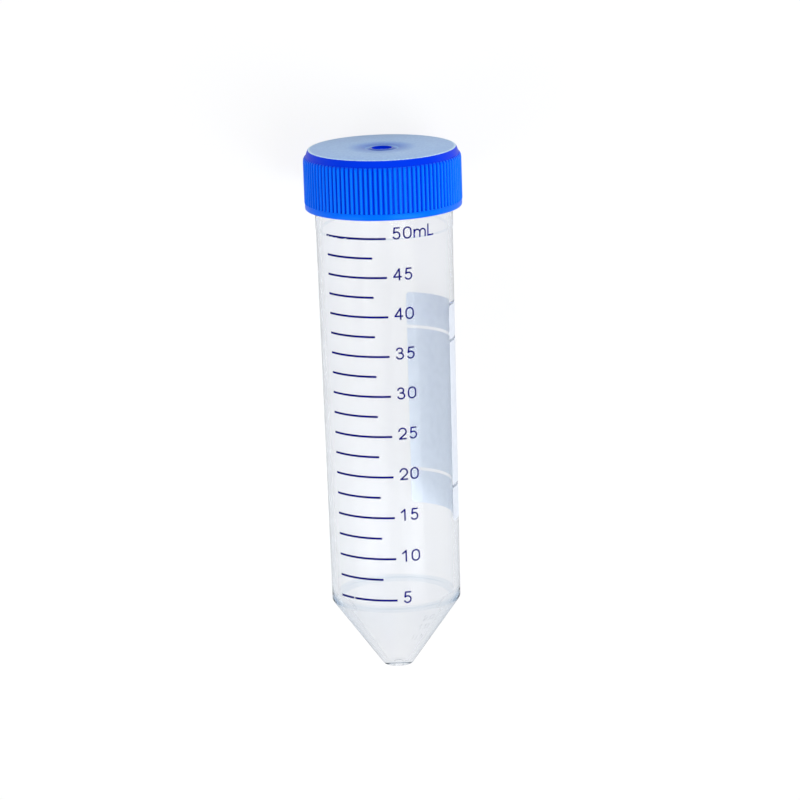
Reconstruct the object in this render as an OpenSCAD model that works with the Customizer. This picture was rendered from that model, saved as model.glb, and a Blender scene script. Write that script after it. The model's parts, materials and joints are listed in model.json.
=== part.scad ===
// Centrifuge tube for 50 ml, with a conical bottom and a ribbed screw cap.
//
// Every shape is drawn about the tube's own axis, with the tip at height 0 and the cap on top,
// and is then laid on its side. There it rests on two ribs of the cap and on the shoulder
// where the body turns into the cone, with the printed scale facing up.

/* [Tube] */
// Height of the tube, from its tip to its mouth
tube_h = 113.9; // [105:0.1:125]
// Outer diameter of the body just under the collar
body_top_d = 29.5; // [29:0.1:29.6]
// Outer diameter of the body where the cone begins
body_low_d = 28.1; // [27.5:0.1:28.6]
// Thickness of the body's wall
wall_t = 1.05; // [0.9:0.05:1.2]
// Height of the cone, up to where the body begins
cone_h = 15.5; // [13:0.1:18]
// Diameter of the flat under the tip
tip_flat_d = 4.6; // [4.2:0.1:5.2]
// Thickness of the floor in the tip
floor_t = 1.1; // [0.9:0.1:1.5]
// Outer diameter of the collar, which fits a rack's hole
collar_d = 29.7; // [29.7:0.05:30]
// Height of the collar that shows below the cap
collar_h = 4.5; // [3.5:0.1:6]
// Outer diameter of the neck inside the cap
neck_d = 29.1; // [28.9:0.1:29.3]

/* [Cap] */
// Height of the cap
cap_h = 12.9; // [11.5:0.1:14]
// Diameter over the tips of the ribs
rib_tip_d = 34.1; // [34:0.1:35]
// Diameter at the bottom of the grooves between the ribs
groove_d = 33; // [32.9:0.1:33.2]
// Number of ribs
rib_count = 100; // [60:2:110]
// Width of one rib
rib_w = 0.66; // [0.5:0.02:0.7]
// Height of the plain band below the ribs
band_h = 1.4; // [1:0.1:2]
// Diameter of the flat top
top_d = 31.8; // [31:0.1:32]
// Thickness of the top
top_t = 1.3; // [1.1:0.1:1.6]
// Inner diameter of the skirt
skirt_bore_d = 31.5; // [31.3:0.1:31.8]
// Depth of the ring that plugs the mouth
plug_h = 3; // [2:0.1:4]
// Diameter of the gate recess in the middle of the top
gate_d = 4.6; // [3.5:0.1:6]

/* [Print] */
// Thickness of the ink, which is let into the wall so that the outside and the balance stay true
ink_t = 0.1; // [0.05:0.01:0.2]
// Height of one line of the scale
line_w = 0.38; // [0.3:0.02:0.5]
// How far the scale is printed below the true fill heights
scale_drop = 1.2; // [0:0.1:1.5]
// Lowest edge of the writing panel, above the tip
panel_z = 33.3; // [25:0.1:36]
// Height of the long middle field of the writing panel
mid_field_h = 31.8; // [20:0.1:36]
// Height of each of its two end fields
end_field_h = 7.4; // [5:0.1:9]
// Bare gap between two fields
field_gap = 0.7; // [0.5:0.1:1.2]

/* [Hidden] */
$fn = 96;

// Small forms
edge_r = 0.8;          // rounding of the tip and of the shoulder, outside and inside
rim_r = 0.3;           // rounding of the mouth's rim and of the cap's lower edge
seat_gap = 0.2;        // air between the mouth and the cap's underside
plug_gap = 0.15;       // air between the plug ring and the bore
plug_t = 0.9;          // thickness of the plug ring
plug_taper = 0.25;     // how far the plug ring narrows towards its lip
collar_cover = 0.7;    // how far the collar reaches up inside the cap
gate_mark_r = 1;       // dimple that the moulding gate leaves under the tip
gate_mark_deep = 0.3;
dish_r = 6;            // shallow dish round the cap's gate recess
dish_deep = 0.2;
gate_deep = 0.7;       // depth of the gate recess below the flat top
gate_slope = 0.8;      // how much wider the recess is at the dish than at its floor
gate_nub_r = 0.5;      // stub of plastic that the gate leaves in the recess
gate_nub_h = 0.25;
shoulder_h = 1.5;      // from the flat top down to the ribs
rib_run_in = 1.7;      // height over which a rib rises out of the shoulder
band_inset = 0.1;      // how far the plain band lies behind the rib tips

// Heights above the tip
cap_top_z = tube_h + seat_gap + top_t;
cap_low_z = cap_top_z - cap_h;
cap_under_z = cap_top_z - top_t;
band_top_z = cap_low_z + band_h;
rib_top_z = cap_top_z - shoulder_h;
collar_low_z = cap_low_z - collar_h;
collar_top_z = cap_low_z + collar_cover;

// Radii of the tube's wall
body_low_r = body_low_d / 2;
body_top_r = body_top_d / 2;
bore_low_r = body_low_r - wall_t;
bore_top_r = body_top_r - wall_t;

// The outer cone touches two equal roundings, so it runs parallel to their line of centres
tip_centre = [tip_flat_d / 2, edge_r];
shoulder_centre = [body_low_r - edge_r, cone_h];
cone_slope = atan2(shoulder_centre[1] - tip_centre[1], shoulder_centre[0] - tip_centre[0]);

// The inner cone is parallel to the outer one
floor_centre = [tip_flat_d / 2 - 0.6, floor_t + edge_r];
inner_run = bore_low_r - edge_r - floor_centre[0];
inner_centre = floor_centre + inner_run * [1, tan(cone_slope)];

// Height to which a volume fills the tube, from the frustum of the cone and the tapered bore
floor_corner_r = floor_centre[0] + edge_r * tan(cone_slope / 2);
bore_start_z = inner_centre[1] - edge_r * tan(45 - cone_slope / 2);
bore_taper = (bore_top_r - bore_low_r) / (collar_low_z - bore_start_z);
cone_volume = PI / 3 * (bore_start_z - floor_t)
    * (pow(floor_corner_r, 2) + floor_corner_r * bore_low_r + pow(bore_low_r, 2));

function fill_radius(ml) =
    pow(pow(bore_low_r, 3) + 3 * bore_taper * (ml * 1000 - cone_volume) / PI, 1 / 3);
function fill_height(ml) = bore_start_z + (fill_radius(ml) - bore_low_r) / bore_taper;

// Radius of the outer wall at a height between the shoulder and the cap
function wall_radius(z) = z > collar_low_z ? collar_d / 2
    : body_low_r + (body_top_r - body_low_r) * (z - cone_h) / (collar_low_z - cone_h);

// Printed scale: a long line at every 5 ml and a short one half way between.
// Angles run round the tube from the middle of its upper side, positive to the right.
scale_low_ml = 5;
scale_high_ml = 50;
long_step_ml = 5;
line_from_a = -56.5;
long_line_to_a = 1;
short_line_to_a = -10.8;

// Writing panel
panel_from_a = 66;
panel_to_a = 163;

// How the closed tube lies: on the lower ends of two ribs, and on the shoulder
rib_pitch_a = 360 / rib_count;
rest_rib_r = rib_tip_d / 2 * cos(rib_pitch_a / 2);
lean = atan((rest_rib_r - body_low_r) / (band_top_z - cone_h));
lying_z = rest_rib_r * cos(lean) - band_top_z * sin(lean);
high_y = cap_top_z * cos(lean) + top_d / 2 * sin(lean);
low_y = -tip_flat_d / 2 * sin(lean);

// Points along an arc of an ellipse
function arc(centre, radii, from, to, steps = 4) = [
    for (i = [0:steps])
        let (a = from + (to - from) * i / steps)
            centre + [radii[0] * cos(a), radii[1] * sin(a)]
];

// Lays an upright shape on its side and centres the closed tube on the origin
module lying() {
    translate([0, -(high_y + low_y) / 2, lying_z])
        rotate([lean - 90, 0, 0])
            children();
}

// One moulding: conical bottom, tapered body, collar and neck, all as one revolved section
module tube() {
    section = concat(
        [[0, gate_mark_deep], [gate_mark_r - gate_mark_deep, gate_mark_deep], [gate_mark_r, 0]],
        arc(tip_centre, [edge_r, edge_r], -90, cone_slope - 90),
        arc(shoulder_centre, [edge_r, edge_r], cone_slope - 90, 0),
        [[body_top_r, collar_low_z], [collar_d / 2, collar_low_z], [collar_d / 2, collar_top_z],
            [neck_d / 2, collar_top_z]],
        arc([neck_d / 2 - rim_r, tube_h - rim_r], [rim_r, rim_r], 0, 90, 3),
        arc([bore_top_r + rim_r, tube_h - rim_r], [rim_r, rim_r], 90, 180, 3),
        [[bore_top_r, collar_low_z]],
        arc(inner_centre, [edge_r, edge_r], 0, cone_slope - 90),
        arc(floor_centre, [edge_r, edge_r], cone_slope - 90, -90),
        [[0, floor_t]]
    );
    color("ghostwhite", 0.4)
        lying()
            difference() {
                rotate_extrude()
                    polygon(section);
                scale_lines(proud = 1);
                panel_fields(proud = 1);
            }
}

// The cap without its ribs: top with gate recess, rounded shoulder, skirt, band and plug ring
module cap_shell() {
    gate_floor_z = cap_top_z - gate_deep;
    plug_r = bore_top_r - plug_gap;
    section = concat(
        [[0, gate_floor_z + gate_nub_h], [gate_nub_r, gate_floor_z + gate_nub_h],
            [gate_nub_r, gate_floor_z], [gate_d / 2, gate_floor_z],
            [gate_d / 2 + gate_slope, cap_top_z - dish_deep], [dish_r, cap_top_z]],
        arc([top_d / 2 - rim_r, cap_top_z - rim_r], [rim_r, rim_r], 90, 20, 3),
        [[groove_d / 2, rib_top_z], [groove_d / 2, band_top_z],
            [rib_tip_d / 2 - band_inset, band_top_z]],
        arc([rib_tip_d / 2 - band_inset - rim_r, cap_low_z + rim_r], [rim_r, rim_r], 0, -90, 3),
        [[skirt_bore_d / 2 + rim_r, cap_low_z], [skirt_bore_d / 2, cap_low_z + rim_r],
            [skirt_bore_d / 2, cap_under_z], [plug_r, cap_under_z],
            [plug_r - plug_taper, cap_under_z - plug_h], [plug_r - plug_t, cap_under_z - plug_h],
            [plug_r - plug_t, cap_under_z], [0, cap_under_z]]
    );
    rotate_extrude()
        polygon(section);
}

// Rounded finger ribs, which rise out of the shoulder and end on the plain band
module grip_ribs() {
    rib_r = rib_w / 2;
    crest = concat(
        [[groove_d / 2 - rib_w, band_top_z], [rib_tip_d / 2, band_top_z]],
        arc([groove_d / 2, rib_top_z - rib_run_in], [(rib_tip_d - groove_d) / 2, rib_run_in], 0, 90, 2),
        [[groove_d / 2 - rib_w, rib_top_z]]
    );
    intersection() {
        rotate_extrude()
            polygon(crest);
        for (i = [0:rib_count - 1])
            rotate([0, 0, 90 + (i + 0.5) * rib_pitch_a])
                translate([rib_tip_d / 2 - rib_r, 0, band_top_z])
                    cylinder(r = rib_r, h = rib_top_z - band_top_z, $fn = 16);
    }
}

// One moulding: the ribbed screw cap
module cap() {
    color("royalblue")
        lying()
            union() {
                cap_shell();
                grip_ribs();
            }
}

// A patch of ink in the tapered wall, between two heights and two angles. Its outer face is
// flush with the wall; standing proud of it, the same patch cuts its own bed.
module ink_patch(low_z, high_z, from_a, to_a, proud) {
    low_r = wall_radius(low_z);
    high_r = wall_radius(high_z);
    rotate([0, 0, from_a - 90])
        rotate_extrude(angle = to_a - from_a)
            polygon([[low_r - ink_t, low_z], [low_r + proud, low_z],
                [high_r + proud, high_z], [high_r - ink_t, high_z]]);
}

// Every line of the scale, each at the height that its volume reaches
module scale_lines(proud = 0) {
    for (ml = [scale_low_ml:long_step_ml / 2:scale_high_ml]) {
        is_long = ml % long_step_ml == 0;
        mark_z = fill_height(ml) - scale_drop;
        ink_patch(mark_z - line_w / 2, mark_z + line_w / 2,
            line_from_a, is_long ? long_line_to_a : short_line_to_a, proud);
    }
}

// The three fields for handwriting: two end fields and a long one between them
module panel_fields(proud = 0) {
    low_z = [panel_z, panel_z + end_field_h + field_gap,
        panel_z + end_field_h + mid_field_h + 2 * field_gap];
    field_h = [end_field_h, mid_field_h, end_field_h];
    for (i = [0:2])
        ink_patch(low_z[i], low_z[i] + field_h[i], panel_from_a, panel_to_a, proud);
}

// The printed scale
module graduation_marks() {
    color("midnightblue")
        lying()
            scale_lines();
}

// The white panel
module writing_panel() {
    color("aliceblue")
        lying()
            panel_fields();
}

tube();
cap();
graduation_marks();
writing_panel();
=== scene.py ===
# %% [markdown]
# # A 50 ml conical centrifuge tube
# The object is a clear plastic tube with a conical bottom and a ribbed blue screw cap. It lies on
# its side, as it comes to rest on a bench, with its printed scale facing up. The solids come from
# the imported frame. This lesson gives them their finish: a smooth clear wall of even thickness, a
# cap whose ribs catch the light one by one, printed ink that follows the wall, and the screw
# thread. Run the cells from top to bottom.

# %% Load the frame
import json
import math
import random

import bmesh
import bpy
from mathutils import Matrix, Vector


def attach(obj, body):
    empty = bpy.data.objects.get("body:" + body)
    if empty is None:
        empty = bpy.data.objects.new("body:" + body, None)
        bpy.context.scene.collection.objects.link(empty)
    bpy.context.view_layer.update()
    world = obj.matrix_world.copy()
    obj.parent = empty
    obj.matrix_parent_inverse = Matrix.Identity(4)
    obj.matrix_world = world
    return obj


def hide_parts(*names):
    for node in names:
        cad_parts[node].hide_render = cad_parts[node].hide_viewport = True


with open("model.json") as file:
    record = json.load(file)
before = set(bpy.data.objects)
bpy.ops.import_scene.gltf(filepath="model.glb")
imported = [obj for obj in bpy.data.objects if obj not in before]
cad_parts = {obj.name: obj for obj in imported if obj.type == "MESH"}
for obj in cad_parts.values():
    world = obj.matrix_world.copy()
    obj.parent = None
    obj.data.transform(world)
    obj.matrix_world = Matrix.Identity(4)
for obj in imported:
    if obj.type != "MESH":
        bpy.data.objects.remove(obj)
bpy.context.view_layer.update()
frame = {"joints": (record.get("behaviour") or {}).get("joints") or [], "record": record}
scene = bpy.context.scene

# %% [markdown]
# ## Where things are
# Every shape of the tube and the cap is round about one axis, as if turned on a lathe. So each
# piece is modelled upright, with the tip of the tube at height 0, and one matrix lays it down at
# the end. The matrix comes from the frame: the cap slides off along the tube's axis, and the seat
# for a rack is a point on that axis whose height above the tip is known.

# %% The tube's own axis, and the matrix that lays an upright shape down
MM = 0.001
FULL_TURN = 2 * math.pi
SEAT_Z = 100.25 * MM  # height of the rack seat above the tip

mounts = {mount["name"]: mount for mount in frame["record"]["mounts"]}
up_axis = Vector(frame["joints"][0]["axis"]).normalized()
lean = math.atan2(up_axis.z, up_axis.y)
tip = Vector(mounts["rack_seat"]["pos_m"]) - up_axis * SEAT_Z
LAY = Matrix.Translation(tip) @ Matrix.Rotation(lean - math.pi / 2, 4, "X")
print("the axis rises", round(math.degrees(lean), 2), "degrees and the tip is at", tip)

# %% Sizes of the tube, upright, in metres
CONE_Z = 15.5 * MM
COLLAR_Z = 98 * MM
COLLAR_TOP_Z = 103.2 * MM
MOUTH_Z = 113.9 * MM
TIP_R = 2.3 * MM
TIP_FACE_R = 2.7 * MM
FLOOR_R = 2.45 * MM
FLOOR_T = 1.1 * MM
BODY_LOW_R = 14.05 * MM
BODY_TOP_R = 14.75 * MM
COLLAR_R = 14.85 * MM
NECK_R = 14.55 * MM
WALL = 1.05 * MM
EDGE_R = 0.8 * MM
BORE_LOW_R = BODY_LOW_R - WALL
BORE_TOP_R = BODY_TOP_R - WALL
BORE_START_Z = 15.73 * MM
INNER_RING_R = 12.75 * MM
INNER_RING_Z = 17.1 * MM
print("tube", round(MOUTH_Z / MM, 1), "mm high and", round(2 * COLLAR_R / MM, 1), "mm across")

# %% Sizes of the cap
CAP_LOW_Z = 102.5 * MM
CAP_TOP_Z = 115.4 * MM
CAP_UNDER_Z = 114.1 * MM
BAND_TOP_Z = 103.9 * MM
RIB_TOP_Z = 113.9 * MM
TOP_R = 15.9 * MM
SHOULDER_R = 16.2 * MM
GROOVE_R = 16.5 * MM
BAND_R = 16.95 * MM
RIB_TIP_R = 17.05 * MM
SKIRT_BORE_R = 15.75 * MM
PLUG_R = 13.55 * MM
RIB_COUNT = 100
print("cap", round(2 * RIB_TIP_R / MM, 1), "mm across, with", RIB_COUNT, "ribs")

# %% [markdown]
# ## A lathe for every round piece
# A revolved part starts as a few corner points of its half section. Rounding those corners in the
# flat section, before the spin, gives every edge an even fillet for very few points. The spin
# merges its last step with its first, and the doubles on the axis are joined. A subdivided and
# rounded cylinder would do as well, but its edges would be harder to place to a tenth of a
# millimetre.

# %% Turn a section into a solid
WELD = 1e-8


def section_points(bm, corners, segments):
    """Adds the corners (radius, height, rounding) as one outline, and rounds them."""
    verts = [bm.verts.new((radius, 0, height)) for radius, height, _ in corners]
    for one, other in zip(verts, verts[1:]):
        bm.edges.new((one, other))
    if corners[0][0] > 0:
        bm.edges.new((verts[-1], verts[0]))
    for vert, (_, _, rounding) in zip(verts, corners):
        if rounding:
            bmesh.ops.bevel(bm, geom=[vert], offset=rounding, offset_type="OFFSET",
                            segments=segments, profile=0.5, affect="VERTICES", material=-1)


def lathe(corners, steps, segments):
    """Revolves a section about the upright axis and returns the closed mesh."""
    bm = bmesh.new()
    section_points(bm, corners, segments)
    bmesh.ops.spin(bm, geom=bm.verts[:] + bm.edges[:], cent=(0, 0, 0), axis=(0, 0, 1),
                   dvec=(0, 0, 0), angle=FULL_TURN, steps=steps, use_merge=True)
    bmesh.ops.remove_doubles(bm, verts=bm.verts[:], dist=WELD)
    bmesh.ops.recalc_face_normals(bm, faces=bm.faces[:])
    return bm


# %% Finish a piece: lay it down, smooth it and tie it to its body
def finish_piece(name, bm, materials, body, replaces=(), sharp=35):
    """Makes an object of an upright mesh and lets it ride on a body."""
    bm.transform(LAY)
    mesh = bpy.data.meshes.new(name)
    bm.to_mesh(mesh)
    bm.free()
    for material in materials:
        mesh.materials.append(material)
    mesh.shade_smooth()
    mesh.set_sharp_from_angle(angle=math.radians(sharp))
    piece = bpy.data.objects.new(name, mesh)
    scene.collection.objects.link(piece)
    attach(piece, body)
    if replaces:
        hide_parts(*replaces)
    print(name, len(mesh.vertices), "points,", len(mesh.polygons), "faces")
    return piece


# %% [markdown]
# ## Node helpers
# The materials are all built from nodes. Their patterns read the object's own coordinates, turned
# and centred so that the pattern's Z runs up the tube's axis from its tip. Grain can then be
# stretched along the tube, and rings can be centred on the cap.

# %% Materials: a small set of node helpers
def new_material(name):
    """A material, its nodes, their links and its main shader."""
    material = bpy.data.materials.new(name)
    material.use_nodes = True
    nodes = material.node_tree.nodes
    return material, nodes, material.node_tree.links, nodes["Principled BSDF"]


def add_node(nodes, kind, **settings):
    """A new node of one kind, with its settings."""
    node = nodes.new(kind)
    for key, value in settings.items():
        setattr(node, key, value)
    return node


def set_inputs(node, values):
    """Sets a node's own sockets from a table of names and values."""
    for name, value in values.items():
        node.inputs[name].default_value = value


def upright_place(nodes, links, stretch=(1, 1, 1)):
    """Coordinates with the tip at 0 and the axis along Z, then stretched."""
    place = add_node(nodes, "ShaderNodeTexCoord")
    turn = add_node(nodes, "ShaderNodeMapping", vector_type="POINT")
    set_inputs(turn, {"Rotation": (math.pi / 2 - lean, 0, 0),
                      "Location": LAY.inverted().translation})
    scaled = add_node(nodes, "ShaderNodeMapping", vector_type="POINT")
    set_inputs(scaled, {"Scale": stretch})
    links.new(place.outputs["Object"], turn.inputs["Vector"])
    links.new(turn.outputs["Vector"], scaled.inputs["Vector"])
    return scaled.outputs["Vector"]


def grain(nodes, links, scale, detail=2, stretch=(1, 1, 1)):
    """Soft noise in the material of tube or cap, from 0 to 1."""
    noise = add_node(nodes, "ShaderNodeTexNoise")
    set_inputs(noise, {"Scale": scale, "Detail": detail})
    links.new(upright_place(nodes, links, stretch), noise.inputs["Vector"])
    return noise.outputs["Fac"]


def add_bump(nodes, links, height, shader, strength, distance):
    """Lets a shader see a height pattern as fine relief, distance metres deep."""
    bump = add_node(nodes, "ShaderNodeBump")
    set_inputs(bump, {"Strength": strength, "Distance": distance})
    links.new(height, bump.inputs["Height"])
    links.new(bump.outputs["Normal"], shader.inputs["Normal"])


def blend_colours(nodes, links, share, low, high, from_min=0.0, from_max=1.0):
    """Mixes two colours as share runs from from_min to from_max."""
    span = add_node(nodes, "ShaderNodeMapRange")
    set_inputs(span, {"From Min": from_min, "From Max": from_max})
    mix = add_node(nodes, "ShaderNodeMix", data_type="RGBA")
    for name, colour in (("A", low), ("B", high)):
        if isinstance(colour, tuple):
            mix.inputs[name].default_value = colour
        else:
            links.new(colour, mix.inputs[name])
    links.new(share, span.inputs["Value"])
    links.new(span.outputs["Result"], mix.inputs["Factor"])
    return mix.outputs["Result"]


# %% [markdown]
# ## The clear wall
# The real tube is one moulding of clear polypropylene. It is not as clear as glass, and the light
# that passes is a little blue and grey. The wall is a true closed shell, with an inside and an
# outside, and the plastic absorbs along the way that the light takes through it. So the edges,
# where that way is longest, come out darkest. The thick ring at the top of the cone darkens a
# little by that, and more by a thin grey band of painted shade; a second such band of painted
# shade marks the collar's step. A low index keeps the refraction as slight as it looks in such a
# thin wall. Light that goes through to the bench keeps its way: the shadow rays see a thin clear
# film instead.

# %% Clear plastic
WALL_TINTS = (0.975, 0.975, 0.985, 1), (0.99, 0.99, 0.99, 1)
# Painted shade: two thin grey bands where refraction draws lines in the wall
PAINTED_SHADE_TINT = (0.84, 0.88, 0.92, 1)
RINGS = (15.9 * MM, 0.5 * MM), (COLLAR_Z, 0.12 * MM)  # height and half width of each
ALONG_TUBE = (1, 1, 0.06)
FILM_TINT = (0.95, 0.96, 0.97, 1)
PLASTIC_COLOUR, ABSORBED_PER_METRE = (0.42, 0.55, 0.68, 1), 48


def clear_plastic():
    """Clear moulded plastic with faint streaks along the tube and two bands of painted shade."""
    material, nodes, links, shader = new_material("clear_wall")
    set_inputs(shader, {"Transmission Weight": 1.0, "IOR": 1.12, "Roughness": 0.05})
    streaks = grain(nodes, links, scale=160, stretch=ALONG_TUBE)
    tint = blend_colours(nodes, links, streaks, *WALL_TINTS, from_min=0.35, from_max=0.65)
    height = add_node(nodes, "ShaderNodeSeparateXYZ")
    links.new(upright_place(nodes, links), height.inputs["Vector"])
    # each band of painted shade darkens the wall's tint at one height
    for z, half in RINGS:
        ring = add_node(nodes, "ShaderNodeMath", operation="COMPARE")
        set_inputs(ring, {1: z, 2: half})
        links.new(height.outputs["Z"], ring.inputs[0])
        tint = blend_colours(nodes, links, ring.outputs["Value"], tint, PAINTED_SHADE_TINT)
    links.new(tint, shader.inputs["Base Color"])
    light_path = add_node(nodes, "ShaderNodeLightPath")
    film = add_node(nodes, "ShaderNodeBsdfTransparent")
    set_inputs(film, {"Color": FILM_TINT})
    mix = add_node(nodes, "ShaderNodeMixShader")
    links.new(light_path.outputs["Is Shadow Ray"], mix.inputs["Fac"])
    links.new(shader.outputs["BSDF"], mix.inputs[1])
    links.new(film.outputs["BSDF"], mix.inputs[2])
    links.new(mix.outputs["Shader"], nodes["Material Output"].inputs["Surface"])
    inside = add_node(nodes, "ShaderNodeVolumeAbsorption")
    set_inputs(inside, {"Color": PLASTIC_COLOUR, "Density": ABSORBED_PER_METRE})
    links.new(inside.outputs["Volume"], nodes["Material Output"].inputs["Volume"])
    return material


CLEAR = clear_plastic()
print("made", CLEAR.name)

# %% [markdown]
# ## The screw thread
# Neck and cap are joined by a coarse thread of one and a half turns. It could be a separate coil,
# spun with a rise. In a clear wall that coil would show as a body inside a body, so here the
# wall's own points are pushed out along the helix instead. The inside of the cap gets the same
# thread, pushed inwards and half a turn further on.

# %% Rise of a thread at any point of a wall
THREAD_PITCH = 3.2 * MM
THREAD_TURNS = 1.55
THREAD_FOOT, THREAD_CREST = 0.85 * MM, 0.3 * MM  # half widths of its ridge
THREAD_FADE = 0.07  # share of a turn over which its ends rise
THREAD_ANGLE = 0.4  # where it starts, in radians round the axis
ON_WALL = 1e-6  # how far from a wall's radius a point may be and still be on it


def thread_rise(point, start_z):
    """How much of the thread's full height stands at this point, from 0 to 1."""
    turned = (math.atan2(point.y, point.x) - THREAD_ANGLE) % FULL_TURN / FULL_TURN
    lap = round((point.z - start_z) / THREAD_PITCH - turned)
    along = turned + lap
    if not 0 < along < THREAD_TURNS:
        return 0.0
    off = abs(point.z - start_z - THREAD_PITCH * along)
    rise = min(1.0, max(0.0, (THREAD_FOOT - off) / (THREAD_FOOT - THREAD_CREST)))
    fade = min(1.0, along / THREAD_FADE, (THREAD_TURNS - along) / THREAD_FADE)
    return rise * rise * (3 - 2 * rise) * math.sin(fade * math.pi / 2)


def raise_thread(bm, wall_r, height, start_z):
    """Pushes the points of a round wall out, or in where height is negative."""
    moved = 0
    for vert in bm.verts:
        radius = math.hypot(vert.co.x, vert.co.y)
        if abs(radius - wall_r) > ON_WALL:
            continue
        rise = thread_rise(vert.co, start_z)
        if rise:
            moved += 1
            vert.co.xy *= (radius + height * rise) / radius
    print("thread on", moved, "points")


# %% [markdown]
# ## The tube
# The section runs from the dimple under the tip up the cone and the tapered body, over the collar
# and the neck to the mouth, and back down the inside. One spin makes it a closed shell. An outer
# skin with a Solidify modifier would be quicker, but the wall would then be as thick in the floor,
# the collar and the neck as in the body, and in clear plastic that difference shows.

# %% The tube
NECK_THREAD_Z = 105.6 * MM
NECK_THREAD_HEIGHT = 0.75 * MM
NECK_ROWS = 40
MOUTH_EDGE = 0.3 * MM
TUBE_STEPS = 256
EDGE_SEGMENTS = 5
GATE_MARK_R = 1.0 * MM
GATE_MARK_DEEP = 0.3 * MM
STEP_H = 0.2 * MM
cone_slope = math.atan2(CONE_Z - EDGE_R, BODY_LOW_R - EDGE_R - TIP_FACE_R)
TIP_EDGE = EDGE_R * math.tan(cone_slope / 2)
SHOULDER_EDGE = EDGE_R * math.tan((math.pi / 2 - cone_slope) / 2)
neck_top_z = MOUTH_Z - 0.4 * MM
neck_rows = [COLLAR_TOP_Z + (neck_top_z - COLLAR_TOP_Z) * (k + 1) / NECK_ROWS
             for k in range(NECK_ROWS)]
tube_section = [  # radius, height and rounding of each corner
    (0, GATE_MARK_DEEP, 0), (GATE_MARK_R - GATE_MARK_DEEP, GATE_MARK_DEEP, 0), (GATE_MARK_R, 0, 0),
    (TIP_FACE_R + TIP_EDGE, 0, TIP_EDGE),
    (BODY_LOW_R, CONE_Z - SHOULDER_EDGE, SHOULDER_EDGE),
    (BODY_TOP_R, COLLAR_Z - STEP_H / 2, 0), (COLLAR_R, COLLAR_Z + STEP_H / 2, 0.03 * MM),
    (COLLAR_R, COLLAR_TOP_Z, 0.1 * MM),
    (NECK_R, COLLAR_TOP_Z, 0),
]
tube_section += [(NECK_R, z, 0) for z in neck_rows]
tube_section += [
    (NECK_R, MOUTH_Z, MOUTH_EDGE), (BORE_TOP_R, MOUTH_Z, MOUTH_EDGE), (BORE_TOP_R, COLLAR_Z, 0),
    (INNER_RING_R, INNER_RING_Z, 0.12 * MM), (FLOOR_R, FLOOR_T, 0.15 * MM), (0, FLOOR_T, 0),
]
tube_mesh = lathe(tube_section, TUBE_STEPS, EDGE_SEGMENTS)
raise_thread(tube_mesh, NECK_R, NECK_THREAD_HEIGHT, NECK_THREAD_Z)
finish_piece("tube_wall", tube_mesh, [CLEAR], "tube_body", ["tube"])


# %% [markdown]
# ## The blue cap
# The cap is moulded in a harder blue plastic. Its skirt is satin, and its top is frosted by the
# mould, so at a low angle the top shows much paler than the skirt. A sheen and a rough clear coat
# over the blue give most of that, because both are strongest where they are seen edge on, and the
# top's outer blue is paled further as painted reflection. The coat fades out near the gate, where
# the mould is smoother. Fine flecks and faint rings break up the flat top. The blues carry painted
# light too: painted shade in the skirt's grooves, on the shoulder and round the gate, and painted
# highlights on the rib crests, the band, the gate's lip and the top's rim.

# %% Colours of the blue plastics
# Painted shade and highlight: the skirt's blue is dark in the grooves and light on the crests
GROOVE_SHADE_BLUE, CREST_HIGHLIGHT_BLUE = (0.0, 0.032, 0.72, 1), (0.0, 0.165, 1.0, 1)
HIGHLIGHT_TINT = (0.08, 0.60, 1.0, 1)
FLECKS = (0.64, 0.76, 0.90, 1), (1.0, 1.0, 1.0, 1)
# Painted shade round the gate's dish, painted highlights on its lip (3.45) and the rim (15.65),
# and an outer blue paled as painted reflection; the frost's own blue lies under all of it.
FROST_SHADE_AND_HIGHLIGHTS = (  # distance from the axis in millimetres, and colour there
    (2.1, (0.0, 0.05, 0.42, 1)), (3.1, (0.0, 0.09, 0.50, 1)), (3.45, (0.16, 0.40, 0.72, 1)),
    (3.8, (0.0, 0.10, 0.56, 1)), (5.0, (0.0, 0.17, 0.63, 1)), (6.5, (0.13, 0.34, 0.75, 1)),
    (7.6, (0.26, 0.48, 0.84, 1)), (10.5, (0.28, 0.50, 0.85, 1)),
    (15.4, (0.22, 0.44, 0.81, 1)), (15.65, (0.60, 0.84, 0.95, 1)),
)
FROST_REACH = 16.2
GLOSSY_TO, HAZY_FROM = 3.2 * MM, 7.5 * MM
FROST_TINT = (0.78, 0.92, 1.0, 1)
RING_DEPTH = 0.2
print(len(FROST_SHADE_AND_HIGHLIGHTS), "rings of colour on the cap's top")


# %% Satin blue for the skirt
def distance_from_axis(nodes, links):
    """How far a point lies from the axis of tube and cap."""
    parts = add_node(nodes, "ShaderNodeSeparateXYZ")
    flat = add_node(nodes, "ShaderNodeCombineXYZ")
    length = add_node(nodes, "ShaderNodeVectorMath", operation="LENGTH")
    links.new(upright_place(nodes, links), parts.inputs["Vector"])
    for axis in "XY":
        links.new(parts.outputs[axis], flat.inputs[axis])
    links.new(flat.outputs["Vector"], length.inputs[0])
    return length.outputs["Value"]


def blue_plastic():
    """Satin blue: painted shade in the grooves and inward, painted highlight on the crests."""
    material, nodes, links, shader = new_material("satin_blue")
    # painted shade at and inside the grooves' radius, painted highlight out at crests and band
    colour = blend_colours(nodes, links, distance_from_axis(nodes, links), GROOVE_SHADE_BLUE, CREST_HIGHLIGHT_BLUE,
                           GROOVE_R, RIB_TIP_R - 0.02 * MM)
    links.new(colour, shader.inputs["Base Color"])
    set_inputs(shader, {"Roughness": 0.3, "Specular IOR Level": 0.25,
                        "Specular Tint": HIGHLIGHT_TINT})
    add_bump(nodes, links, grain(nodes, links, scale=1500), shader,
             strength=0.1, distance=0.04 * MM)
    return material


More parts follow.
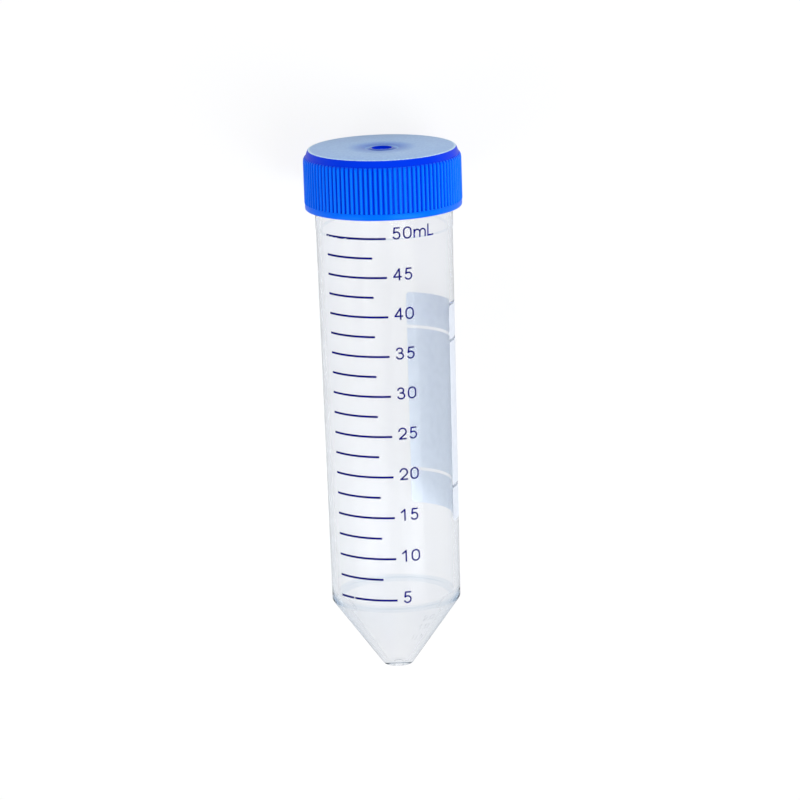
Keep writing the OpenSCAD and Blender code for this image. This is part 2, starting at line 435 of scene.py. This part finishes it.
# %% Frosted blue for the top
def ring_colours(nodes, links):
    """Frost colour: painted shade at the gate, painted highlights on its lip and the outer rim."""
    span = add_node(nodes, "ShaderNodeMapRange")
    set_inputs(span, {"From Max": FROST_REACH * MM})
    links.new(distance_from_axis(nodes, links), span.inputs["Value"])
    ramp = add_node(nodes, "ShaderNodeValToRGB")
    while len(ramp.color_ramp.elements) < len(FROST_SHADE_AND_HIGHLIGHTS):
        ramp.color_ramp.elements.new(0.5)
    stops = list(zip(ramp.color_ramp.elements, FROST_SHADE_AND_HIGHLIGHTS))
    for stop, (_, colour) in stops:
        stop.color = colour
    for stop, (reach, _) in reversed(stops):
        stop.position = reach / FROST_REACH
    links.new(span.outputs["Result"], ramp.inputs["Fac"])
    return ramp.outputs["Color"]


def frosted_blue():
    """The pale top: painted shade and highlights in rings, flecks, a soft sheen and a hazy coat."""
    material, nodes, links, shader = new_material("frosted_blue")
    flecks = blend_colours(nodes, links, grain(nodes, links, scale=1800, detail=4), *FLECKS,
                           from_min=0.42, from_max=0.58)
    both = add_node(nodes, "ShaderNodeMix", data_type="RGBA", blend_type="MULTIPLY")
    set_inputs(both, {"Factor": 1.0})
    links.new(ring_colours(nodes, links), both.inputs["A"])
    links.new(flecks, both.inputs["B"])
    links.new(both.outputs["Result"], shader.inputs["Base Color"])
    set_inputs(shader, {"Roughness": 0.5, "Coat Roughness": 0.35, "Coat IOR": 1.5,
                        "Sheen Weight": 1.0, "Sheen Roughness": 0.35, "Sheen Tint": FROST_TINT})
    coat = add_node(nodes, "ShaderNodeMapRange")
    set_inputs(coat, {"From Min": GLOSSY_TO, "From Max": HAZY_FROM})
    links.new(distance_from_axis(nodes, links), coat.inputs["Value"])
    links.new(coat.outputs["Result"], shader.inputs["Coat Weight"])
    rings = add_node(nodes, "ShaderNodeTexWave", wave_type="RINGS", rings_direction="Z")
    set_inputs(rings, {"Scale": 210, "Distortion": 2.5})
    links.new(upright_place(nodes, links), rings.inputs["Vector"])
    texture = add_node(nodes, "ShaderNodeMath", operation="MULTIPLY_ADD")
    set_inputs(texture, {1: RING_DEPTH})
    links.new(rings.outputs["Fac"], texture.inputs[0])
    links.new(grain(nodes, links, scale=2400, detail=3), texture.inputs[2])
    add_bump(nodes, links, texture.outputs["Value"], shader, strength=0.35, distance=0.06 * MM)
    return material


BLUE = blue_plastic()
FROSTED = frosted_blue()
print("made", BLUE.name, "and", FROSTED.name)

# %% [markdown]
# ## Ribs, the hard part of the cap
# A hundred ribs run round the skirt. Each is a rounded ridge that rises out of the shoulder in a
# quarter of an ellipse and ends on a plain band. They could be a hundred copies of one ridge, set
# round in a ring, but then each would sit on the wall with a seam. Here the skirt is spun with
# ten steps for every rib, and the steps that lie under a ridge are pushed out to its round
# profile, so cap and ribs stay one skin as they are in the mould.

# %% Rows of points along the cap's skirt
STEPS_PER_RIB = 10
RUN_IN = 1.1 * MM
RUN_IN_SHARES = 0.04, 0.12, 0.25, 0.42, 0.65, 1.0
ABOVE_BAND = 0.02
BORE_ROWS = 17
BORE_MARGIN = 0.6 * MM
run_in_rows = [RIB_TOP_Z - RUN_IN * share for share in RUN_IN_SHARES]
straight = RIB_TOP_Z - RUN_IN - BAND_TOP_Z
rib_rows = run_in_rows + [BAND_TOP_Z + straight * ABOVE_BAND]
bore_rows = [CAP_LOW_Z + BORE_MARGIN + (CAP_UNDER_Z - 2 * BORE_MARGIN - CAP_LOW_Z) * k / BORE_ROWS
             for k in range(BORE_ROWS + 1)]
print(len(rib_rows), "rows outside and", len(bore_rows), "rows inside")

# %% Section of the cap, from the middle of its top, round the skirt and back inside
GATE_R = 2.15 * MM
GATE_Z = CAP_TOP_Z - 0.7 * MM
STUB_R = 0.45 * MM
STUB_Z = CAP_TOP_Z - 0.45 * MM
DISH_R = 6.3 * MM
PLUG_END_Z = CAP_UNDER_Z - 3 * MM
PLUG_TAPER = 0.25 * MM
PLUG_BORE_R = PLUG_R - 0.9 * MM
cap_section = [  # radius, height and rounding of each corner
    (0, STUB_Z, 0), (STUB_R, STUB_Z, 0.1 * MM),
    (STUB_R + 0.1 * MM, GATE_Z, 0), (GATE_R, GATE_Z, 0.15 * MM),
    (GATE_R + 0.05 * MM, CAP_TOP_Z - 0.1 * MM, 0.05 * MM),
    (GATE_R + 0.45 * MM, CAP_TOP_Z - 0.06 * MM, 0.1 * MM),
    (GATE_R + 1.0 * MM, CAP_TOP_Z - 0.28 * MM, 0.2 * MM),
    (GATE_R + 2.0 * MM, CAP_TOP_Z - 0.11 * MM, 0.6 * MM), (DISH_R, CAP_TOP_Z, 0.8 * MM),
    (TOP_R, CAP_TOP_Z, 0.25 * MM), (SHOULDER_R, CAP_TOP_Z - 0.45 * MM, 0.4 * MM),
    (GROOVE_R, RIB_TOP_Z, 0),
]
cap_section += [(GROOVE_R, z, 0) for z in rib_rows]
cap_section += [
    (GROOVE_R, BAND_TOP_Z, 0), (BAND_R, BAND_TOP_Z, 0.06 * MM), (BAND_R, CAP_LOW_Z, 0.3 * MM),
    (SKIRT_BORE_R, CAP_LOW_Z, 0.25 * MM),
]
cap_section += [(SKIRT_BORE_R, z, 0) for z in bore_rows]
cap_section += [
    (SKIRT_BORE_R, CAP_UNDER_Z, 0.3 * MM), (PLUG_R, CAP_UNDER_Z, 0.2 * MM),
    (PLUG_R - PLUG_TAPER, PLUG_END_Z, 0.15 * MM), (PLUG_BORE_R, PLUG_END_Z, 0.15 * MM),
    (PLUG_BORE_R, CAP_UNDER_Z, 0.2 * MM), (0, CAP_UNDER_Z, 0),
]
print(len(cap_section), "corners in the cap's section")

# %% Raise the ribs
RIB_R = 0.33 * MM
HAIR = 1e-7  # so that a row which lies on a limit counts
FROST_DEEP = 0.32 * MM
FACES_UP = 0.8  # height of a face's normal, which is 1 where it lies level


def raise_ribs(bm):
    """Pushes the skirt's wall out into rounded ribs that run into the shoulder."""
    pitch = FULL_TURN / RIB_COUNT
    for vert in bm.verts:
        radius = math.hypot(vert.co.x, vert.co.y)
        if abs(radius - GROOVE_R) > ON_WALL or not BAND_TOP_Z < vert.co.z + HAIR < RIB_TOP_Z:
            continue
        angle = math.atan2(vert.co.y, vert.co.x)
        off = (angle / pitch % 1 - 0.5) * pitch * RIB_TIP_R
        if abs(off) >= RIB_R:
            continue
        crest = RIB_TIP_R - RIB_R + math.sqrt(RIB_R ** 2 - off ** 2)
        risen = min(1, (RIB_TOP_Z - vert.co.z) / RUN_IN)
        limit = GROOVE_R + (RIB_TIP_R - GROOVE_R) * math.sqrt(1 - (1 - risen) ** 2)
        vert.co.xy *= min(crest, limit) / radius


def frost_top(bm):
    """The flat top and its dish take the second, frosted material."""
    for face in bm.faces:
        centre = face.calc_center_median()
        radius = math.hypot(centre.x, centre.y)
        on_top = face.normal.z > FACES_UP and centre.z > CAP_TOP_Z - FROST_DEEP
        if on_top and GATE_R < radius < TOP_R + 0.1 * MM:
            face.material_index = 1


# %% The cap
BORE_THREAD_Z = 107.2 * MM
BORE_THREAD_HEIGHT = -0.28 * MM
CAP_EDGE_SEGMENTS = 3
cap_mesh = lathe(cap_section, RIB_COUNT * STEPS_PER_RIB, CAP_EDGE_SEGMENTS)
raise_ribs(cap_mesh)
raise_thread(cap_mesh, SKIRT_BORE_R, BORE_THREAD_HEIGHT, BORE_THREAD_Z)
frost_top(cap_mesh)
finish_piece("screw_cap", cap_mesh, [BLUE, FROSTED], "cap_body", ["cap"])


# %% [markdown]
# ## Ink that follows the wall
# The scale, its numbers and the white panel are printed on a tapered round wall. Each print is
# drawn flat first, as wide as it is round the tube and as high as it is along it. It is cut into
# narrow strips, so that it can bend, extruded to the thickness of a layer of ink, and wrapped:
# its width becomes an angle, its height stays a height, and its depth stands off the wall.

# %% Inks
def ink(name, thin, thick, roughness):
    """Printed ink whose cover varies a little."""
    material, nodes, links, shader = new_material(name)
    cover = grain(nodes, links, scale=700, detail=3)
    colour = blend_colours(nodes, links, cover, thin, thick, from_min=0.3, from_max=0.6)
    links.new(colour, shader.inputs["Base Color"])
    set_inputs(shader, {"Roughness": roughness, "Specular IOR Level": 0.04})
    add_bump(nodes, links, grain(nodes, links, scale=3000), shader,
             strength=0.1, distance=0.02 * MM)
    return material


NAVY = ink("navy_print", (0.0, 0.001, 0.21, 1), (0.0, 0.001, 0.14, 1), 0.55)
WHITE = ink("white_print", (0.66, 0.69, 0.74, 1), (0.70, 0.73, 0.78, 1), 0.6)
print("made", NAVY.name, "and", WHITE.name)

# %% Wrap a flat print round the tube
STRIP = 0.5 * MM
INK_T = 0.03 * MM


def wall_radius(z):
    """Radius of the tube's outside at a height."""
    if z > COLLAR_Z:
        return COLLAR_R
    if z > CONE_Z:
        return BODY_LOW_R + (BODY_TOP_R - BODY_LOW_R) * (z - CONE_Z) / (COLLAR_Z - CONE_Z)
    return BODY_LOW_R - (CONE_Z - z) / math.tan(cone_slope)


def arc_length(angle, z):
    """Width of an angle in degrees, measured round the wall."""
    return math.radians(angle) * wall_radius(z)


def wrap(bm, middle_z, thickness=INK_T):
    """Cuts a flat print into strips, thickens it and bends it round the wall."""
    low = min(vert.co.x for vert in bm.verts)
    high = max(vert.co.x for vert in bm.verts)
    for k in range(math.ceil(low / STRIP), math.floor(high / STRIP) + 1):
        bmesh.ops.bisect_plane(bm, geom=bm.verts[:] + bm.edges[:] + bm.faces[:],
                               plane_co=(k * STRIP, 0, 0), plane_no=(1, 0, 0), dist=ON_WALL)
    raised = bmesh.ops.extrude_face_region(bm, geom=bm.faces[:])
    top = [item for item in raised["geom"] if isinstance(item, bmesh.types.BMVert)]
    bmesh.ops.translate(bm, verts=top, vec=(0, 0, thickness))
    bmesh.ops.recalc_face_normals(bm, faces=bm.faces[:])
    around = wall_radius(middle_z)
    for vert in bm.verts:
        angle = vert.co.x / around
        radius = wall_radius(vert.co.y) + vert.co.z
        vert.co = (radius * math.sin(angle), -radius * math.cos(angle), vert.co.y)


def flat_field(low_x, high_x, low_z, high_z):
    """A flat rectangle, between two widths and two heights."""
    bm = bmesh.new()
    bmesh.ops.create_grid(bm, x_segments=1, y_segments=1, size=0.5)
    bmesh.ops.scale(bm, vec=(high_x - low_x, high_z - low_z, 1), verts=bm.verts[:])
    bmesh.ops.translate(bm, vec=((low_x + high_x) / 2, (low_z + high_z) / 2, 0), verts=bm.verts[:])
    return bm


def add_to(whole, part):
    """Joins one mesh to another and frees it."""
    mesh = bpy.data.meshes.new("part")
    part.to_mesh(mesh)
    part.free()
    whole.from_mesh(mesh)
    bpy.data.meshes.remove(mesh)


# %% [markdown]
# ## The scale
# A long line stands at every 5 ml and a short one half way between. Their heights aren't even
# steps: the tube is tapered, so the lines draw closer towards the top. Each height follows from
# the volume of the cone and of the tapered bore above it. As on any printed scale, the ink isn't
# perfect: the top line is ragged at its left, and the lowest one has a tiny gap.

# %% Height of a line from the volume that it shows
SCALE_DROP = 1.2 * MM
FIRST_ML, LAST_ML = 5, 50
ML_PER_LINE, ML_PER_NUMBER = 2.5, 5
ML = 1e-6
TIP_WALL = 0.6 * MM
filled_slope = math.atan2(CONE_Z - EDGE_R, BODY_LOW_R - EDGE_R - TIP_R)
floor_r = TIP_R - TIP_WALL + EDGE_R * math.tan(filled_slope / 2)
cone_volume = (math.pi / 3 * (BORE_START_Z - FLOOR_T)
               * (floor_r ** 2 + floor_r * BORE_LOW_R + BORE_LOW_R ** 2))
bore_taper = (BORE_TOP_R - BORE_LOW_R) / (COLLAR_Z - BORE_START_Z)


def mark_height(volume):
    """Height of the line that stands for a volume in ml."""
    filled_r = (BORE_LOW_R ** 3 + 3 * bore_taper * (volume * ML - cone_volume) / math.pi) ** (1 / 3)
    return BORE_START_Z + (filled_r - BORE_LOW_R) / bore_taper - SCALE_DROP


for volume in (FIRST_ML, LAST_ML):
    print(volume, "ml at", round(mark_height(volume) / MM, 2), "mm")

# %% Lines
LINE_W = 0.46 * MM
LINE_FROM, LONG_TO, SHORT_TO = -56.5, 1.0, -10.8  # degrees round the tube
GAP_ANGLE, GAP_W = -40.6, 0.3 * MM
RAGGED_TO = -30.0
RAGGED_BY = 0.38 * MM
LEAST_WORN, MOST_WORN = -0.3, 1.0
worn = random.Random(7)


def scale_line(from_angle, to_angle, z):
    """One printed line between two angles."""
    bm = flat_field(arc_length(from_angle, z), arc_length(to_angle, z), z - LINE_W / 2,
                    z + LINE_W / 2)
    wrap(bm, z)
    return bm


def ragged_edge(bm, z):
    """Moves the lower edge of a line in and out where the ink ran thin."""
    for vert in bm.verts:
        angle = math.degrees(math.atan2(vert.co.x, -vert.co.y))
        if vert.co.z < z and angle < RAGGED_TO:
            vert.co.z += worn.uniform(LEAST_WORN, MOST_WORN) * RAGGED_BY


lines = bmesh.new()
for step in range(round((LAST_ML - FIRST_ML) / ML_PER_LINE) + 1):
    volume = FIRST_ML + ML_PER_LINE * step
    z = mark_height(volume)
    to_angle = SHORT_TO if volume % ML_PER_NUMBER else LONG_TO
    if volume == FIRST_ML:
        gap = math.degrees(GAP_W / wall_radius(z))
        add_to(lines, scale_line(LINE_FROM, GAP_ANGLE, z))
        add_to(lines, scale_line(GAP_ANGLE + gap, to_angle, z))
        continue
    line = scale_line(LINE_FROM, to_angle, z)
    if volume == LAST_ML:
        ragged_edge(line, z)
    add_to(lines, line)
finish_piece("scale_lines", lines, [NAVY], "tube_body", ["graduation_marks"])

# %% [markdown]
# ## The numbers
# The numbers have the plain letter shape of lab print: lines of one width, made of straight runs
# and round turns. A text object with Blender's own font would be quicker, but its figures look
# different. So a pen is used. The pen is a short edge. A straight run extrudes it, a turn spins
# it about a centre beside it, and what it sweeps is the printed line.

# %% A pen of one width
PEN_W = 0.13  # as a share of the figure's height
DEGREES_PER_STEP = 15


def stroke(bm, start, heading, *moves):
    """Draws a flat line. A move is a length, or a turn as (radius, degrees to the left)."""
    here = Vector((*start, 0))
    left = Matrix.Rotation(math.radians(heading + 90), 3, "Z") @ Vector((1, 0, 0))
    ends = [bm.verts.new(here + left * side * PEN_W / 2) for side in (1, -1)]
    pen = bm.edges.new(ends)
    for move in moves:
        if isinstance(move, tuple):
            radius, degrees = move
            turn = math.radians(degrees)
            centre = here + left * math.copysign(radius, turn)
            drawn = bmesh.ops.spin(bm, geom=[*pen.verts, pen], cent=centre, axis=(0, 0, 1),
                                   dvec=(0, 0, 0), angle=turn,
                                   steps=max(2, round(abs(degrees) / DEGREES_PER_STEP)))
            last = drawn["geom_last"]
            here = centre + Matrix.Rotation(turn, 3, "Z") @ (here - centre)
            left = Matrix.Rotation(turn, 3, "Z") @ left
        else:
            ahead = Vector((left.y, -left.x, 0))
            last = bmesh.ops.extrude_edge_only(bm, edges=[pen])["geom"]
            moved = [item for item in last if isinstance(item, bmesh.types.BMVert)]
            bmesh.ops.translate(bm, vec=ahead * move, verts=moved)
            here = here + ahead * move
        fresh = {item for item in last if isinstance(item, bmesh.types.BMVert)}
        pen = next(item for item in last if isinstance(item, bmesh.types.BMEdge)
                   and set(item.verts) <= fresh)


# %% Each figure as a few strokes, one unit high
STROKES = {  # start, heading in degrees, then the moves
    "0": [((0.0575, 0.3625), 90, 0.275, (0.305, -180), 0.275, (0.305, -180))],
    "1": [((0.02, 0.68), 38, 0.42), ((0.34, 0), 90, 1.0)],
    "2": [((0.0625, 0.65), 90, (0.2925, -230), 0.573), ((0.04, 0.0575), 0, 0.645)],
    "3": [((0.085, 0.7365), 90, (0.206, -90), 0.05, (0.206, -180), 0.12),
          ((0.30, 0.5305), 0, 0.08, (0.2365, -180), 0.07, (0.25, -80))],
    "4": [((0.035, 0.285), 55.4, 0.82), ((0.0, 0.30), 0, 0.70), ((0.50, 0), 90, 1.0)],
    "5": [((0.17, 0.9425), 0, 0.47), ((0.205, 0.985), -98.5, 0.50),
          ((0.118, 0.494), 55, (0.2775, -305))],
    "m": [((0.0575, 0), 90, 0.725), ((0.0575, 0.411), 90, (0.25625, -180), 0.411),
          ((0.57, 0.411), 90, (0.25625, -180), 0.411)],
    "L": [((0.0575, 0), 90, 1.0), ((0, 0.0575), 0, 0.62)],
    ".": [((0.08, 0), 90, 0.115)],
}
WIDTHS = {"1": 0.615, "m": 1.14, "L": 0.68, ".": 0.16}
DIGIT_W = 0.725
LETTER_GAP = 0.174
PEN_WELD = 1e-4


def flat_label(text, height):
    """A flat mesh of a short label, from its left end, on its baseline."""
    label = bmesh.new()
    reach = 0.0
    for letter in text:
        figure = bmesh.new()
        for start, heading, *moves in STROKES[letter]:
            stroke(figure, start, heading, *moves)
        bmesh.ops.remove_doubles(figure, verts=figure.verts[:], dist=PEN_WELD)
        bmesh.ops.translate(figure, vec=(reach, 0, 0), verts=figure.verts[:])
        add_to(label, figure)
        reach += WIDTHS.get(letter, DIGIT_W) + LETTER_GAP
    bmesh.ops.scale(label, vec=(height, height, 1), verts=label.verts[:])
    print("label", text, "is", round((reach - LETTER_GAP) * height / MM, 2), "mm wide")
    return label


# %% Numbers beside the long lines
NUMBER_H = 2.65 * MM
NUMBER_FROM = 6.2  # degrees round the tube
BASELINE_DROP, TOP_LABEL_DROP = 0.7 * MM, 0.25 * MM
numbers = bmesh.new()
for volume in range(FIRST_ML, LAST_ML + 1, ML_PER_NUMBER):
    is_top = volume == LAST_ML
    z = mark_height(volume) - (TOP_LABEL_DROP if is_top else BASELINE_DROP)
    text = flat_label(f"{volume}mL" if is_top else str(volume), NUMBER_H)
    bmesh.ops.translate(text, vec=(arc_length(NUMBER_FROM, z), z, 0), verts=text.verts[:])
    wrap(text, z)
    add_to(numbers, text)
finish_piece("scale_numbers", numbers, [NAVY], "tube_body")

# %% [markdown]
# ## The writing panel
# Beside the scale is a white panel of three fields, whose ink takes a pen. It could be a colour in
# the wall's own material, but ink lies on the wall and has an edge of its own, which shows where
# the panel turns out of sight. So each field is a thin piece. The outer corners are rounded, which
# is one bevel of two corner points while the field is still flat.

# %% Fields of the panel
PANEL_FROM, PANEL_TO = 66.0, 163.0  # degrees round the tube
PANEL_Z = 33.3 * MM
END_FIELD_H = 7.4 * MM
MID_FIELD_H = 31.8 * MM
FIELD_GAP = 0.7 * MM
CORNER_R, CORNER_SEGMENTS = 0.8 * MM, 6


def panel_field(low_z, high_z, round_z=None):
    """One white field, with rounded corners at the height round_z."""
    middle_z = (low_z + high_z) / 2
    bm = flat_field(arc_length(PANEL_FROM, middle_z), arc_length(PANEL_TO, middle_z), low_z, high_z)
    if round_z is not None:
        corners = [vert for vert in bm.verts if abs(vert.co.y - round_z) < ON_WALL]
        bmesh.ops.bevel(bm, geom=corners, offset=CORNER_R, offset_type="OFFSET",
                        segments=CORNER_SEGMENTS, profile=0.5, affect="VERTICES", material=-1)
    wrap(bm, middle_z)
    return bm


mid_low = PANEL_Z + END_FIELD_H + FIELD_GAP
top_low = mid_low + MID_FIELD_H + FIELD_GAP
panel = bmesh.new()
add_to(panel, panel_field(PANEL_Z, PANEL_Z + END_FIELD_H, PANEL_Z))
add_to(panel, panel_field(mid_low, mid_low + MID_FIELD_H))
add_to(panel, panel_field(top_low, top_low + END_FIELD_H, top_low + END_FIELD_H))
finish_piece("pen_panel", panel, [WHITE], "tube_body", ["writing_panel"])

# %% [markdown]
# ## Marks in the cone
# Below the printed scale the mould itself carries three small volumes, too faint to read from
# afar. They stand a tenth of a millimetre proud in the same clear plastic. A round pip on the
# other side is the mark of the mould's cavity. A bump in the material would do for an opaque tube,
# but clear plastic shows relief by its edges, so these are shapes. The numbers are drawn with the
# same pen as the scale's, and all of them are wrapped as the print is.

# %% Raised volumes in the cone
RAISED = 0.1 * MM
MARK_H = 1.4 * MM
CONE_VOLUMES = (  # text, degrees round the tube, and height of its foot
    ("2.0", 29, 12.3 * MM), ("1.0", 27, 9.9 * MM), ("0.5", 23, 7.2 * MM),
)
marks = bmesh.new()
for label, angle, z in CONE_VOLUMES:
    text = flat_label(label, MARK_H)
    bmesh.ops.translate(text, vec=(arc_length(angle, z), z, 0), verts=text.verts[:])
    wrap(text, z + MARK_H / 2, RAISED)
    add_to(marks, text)

# %% A fine tick above them, and the round pip on the other side
TICK_FROM, TICK_TO = 12, 18.5
TICK_Z, TICK_W, TICK_RAISED = 18.5 * MM, 0.16 * MM, 0.04 * MM
PIP_ANGLE, PIP_Z, PIP_R, PIP_SIDES = -32.5, 7.1 * MM, 0.55 * MM, 20
tick = flat_field(arc_length(TICK_FROM, TICK_Z), arc_length(TICK_TO, TICK_Z),
                  TICK_Z - TICK_W / 2, TICK_Z + TICK_W / 2)
wrap(tick, TICK_Z, TICK_RAISED)
add_to(marks, tick)
pip = bmesh.new()
bmesh.ops.create_circle(pip, cap_ends=True, segments=PIP_SIDES, radius=PIP_R)
bmesh.ops.translate(pip, vec=(arc_length(PIP_ANGLE, PIP_Z), PIP_Z, 0), verts=pip.verts[:])
wrap(pip, PIP_Z, RAISED)
add_to(marks, pip)
finish_piece("mould_marks", marks, [CLEAR], "tube_body")


# %% [markdown]
# ## The bench and the light
# The tube lies on a wide pale surface. Two soft boxes light it from above, one on each side, a
# weaker one stands behind the cap, and the sky of the studio fills the rest. Straight from the
# camera floor and sky are white. Through the plastic they look a little greyer, and mirrored in it
# they are dim, as the far side of a room is, so that the rims of the clear wall and the blue of the
# cap keep their colour. The floor lights nothing by itself, and the shadow stays.

# %% Floor
FLOOR_SIZE = 6.0
FLOOR_GREY = (0.92, 0.92, 0.92, 1)
WHITE_SHARE = 0.85
SEEN_WHITE = (1, 1, 1, 1)
FLOOR_THROUGH, FLOOR_MIRRORED = (0.91, 0.905, 0.905, 1), (0.4, 0.4, 0.4, 1)


def seen_colour(nodes, links, path, through, mirrored):
    """White for the camera, one colour for refracted rays and one for all others."""
    indirect = blend_colours(nodes, links, path.outputs["Is Transmission Ray"], mirrored, through)
    return blend_colours(nodes, links, path.outputs["Is Camera Ray"], indirect, SEEN_WHITE)


def pale_floor():
    """A matt floor that keeps its shadow and looks white where no shadow falls."""
    material, nodes, links, shader = new_material("pale_floor")
    set_inputs(shader, {"Base Color": FLOOR_GREY, "Roughness": 0.9, "Specular IOR Level": 0.1})
    path = add_node(nodes, "ShaderNodeLightPath")
    white = add_node(nodes, "ShaderNodeEmission")
    links.new(seen_colour(nodes, links, path, FLOOR_THROUGH, FLOOR_MIRRORED),
              white.inputs["Color"])
    seen = path.outputs["Is Camera Ray"]
    for ray in ("Is Glossy Ray", "Is Transmission Ray"):
        either = add_node(nodes, "ShaderNodeMath", operation="MAXIMUM")
        links.new(seen, either.inputs[0])
        links.new(path.outputs[ray], either.inputs[1])
        seen = either.outputs["Value"]
    share = add_node(nodes, "ShaderNodeMath", operation="MULTIPLY")
    set_inputs(share, {1: WHITE_SHARE})
    links.new(seen, share.inputs[0])
    mix = add_node(nodes, "ShaderNodeMixShader")
    links.new(share.outputs["Value"], mix.inputs["Fac"])
    links.new(shader.outputs["BSDF"], mix.inputs[1])
    links.new(white.outputs["Emission"], mix.inputs[2])
    links.new(mix.outputs["Shader"], nodes["Material Output"].inputs["Surface"])
    return material


floor_bm = bmesh.new()
bmesh.ops.create_grid(floor_bm, x_segments=1, y_segments=1, size=FLOOR_SIZE / 2)
floor_mesh = bpy.data.meshes.new("floor")
floor_bm.to_mesh(floor_mesh)
floor_bm.free()
floor_mesh.materials.append(pale_floor())
floor = bpy.data.objects.new("floor", floor_mesh)
scene.collection.objects.link(floor)
print("floor", FLOOR_SIZE, "m wide")

# %% World
SKY_THROUGH, SKY_MIRRORED = (0.74, 0.79, 0.84, 1), (0.36, 0.38, 0.42, 1)
world = bpy.data.worlds.new("studio")
scene.world = world
world.use_nodes = True
sky_nodes, sky_links = world.node_tree.nodes, world.node_tree.links
sky_path = add_node(sky_nodes, "ShaderNodeLightPath")
sky_links.new(seen_colour(sky_nodes, sky_links, sky_path, SKY_THROUGH, SKY_MIRRORED),
              sky_nodes["Background"].inputs["Color"])
print("sky", world.name)


# %% Soft boxes
def softbox(name, place, size, watts, aim):
    """A flat lamp at a place, turned to what it lights. Lengths are in metres."""
    lamp = bpy.data.lights.new(name, "AREA")
    lamp.shape = "RECTANGLE"
    lamp.size, lamp.size_y = size
    lamp.energy = watts
    stand = bpy.data.objects.new(name, lamp)
    stand.location = place
    stand.rotation_euler = (Vector(aim) - Vector(place)).to_track_quat("-Z", "Y").to_euler()
    scene.collection.objects.link(stand)
    print(name, watts, "W")


middle = tip + up_axis * (CAP_TOP_Z / 2)
softbox("key_softbox", (0.55, -0.30, 0.85), (0.45, 0.9), 8.5, middle)
softbox("fill_softbox", (-0.85, -0.45, 0.65), (0.4, 0.9), 4.5, middle)
softbox("rim_softbox", (0.1, 0.75, 0.3), (0.8, 0.4), 2.5, tip + up_axis * CAP_TOP_Z)

# %% [markdown]
# ## The camera
# A long lens from a metre away keeps the tube nearly free of perspective, as in a catalogue. The
# camera looks down on the scale. It is tilted a little towards the cap, so that the cap's flat top
# shows, and rolled slightly. It could be aimed by a constraint, but a matrix made from the tube's
# own axis is exact and easy to read.

# %% Camera
VIEW_TILT = math.radians(13.37)
VIEW_ROLL = math.radians(1.86)
VIEW_DISTANCE = 0.987
AIM_Z = 59.44 * MM
AIM_X = 2.17 * MM
LENS, SENSOR_W = 204, 36
FAR_CLIP = 20
upper_side = Vector((0, -math.sin(lean), math.cos(lean)))
aim = tip + up_axis * AIM_Z + Vector((AIM_X, 0, 0))
toward = upper_side * math.cos(VIEW_TILT) + up_axis * math.sin(VIEW_TILT)
right = Vector((1, 0, 0))
turn = Matrix((right, toward.cross(right), toward)).transposed().to_4x4()
camera = bpy.data.objects.new("camera", bpy.data.cameras.new("camera"))
scene.collection.objects.link(camera)
scene.camera = camera
camera.data.lens = LENS
camera.data.sensor_width = SENSOR_W
camera.data.clip_end = FAR_CLIP
camera.matrix_world = (Matrix.Translation(aim + toward * VIEW_DISTANCE) @ turn
                       @ Matrix.Rotation(-VIEW_ROLL, 4, "Z"))
scene.view_settings.view_transform = "Standard"
print("camera at", camera.matrix_world.translation)
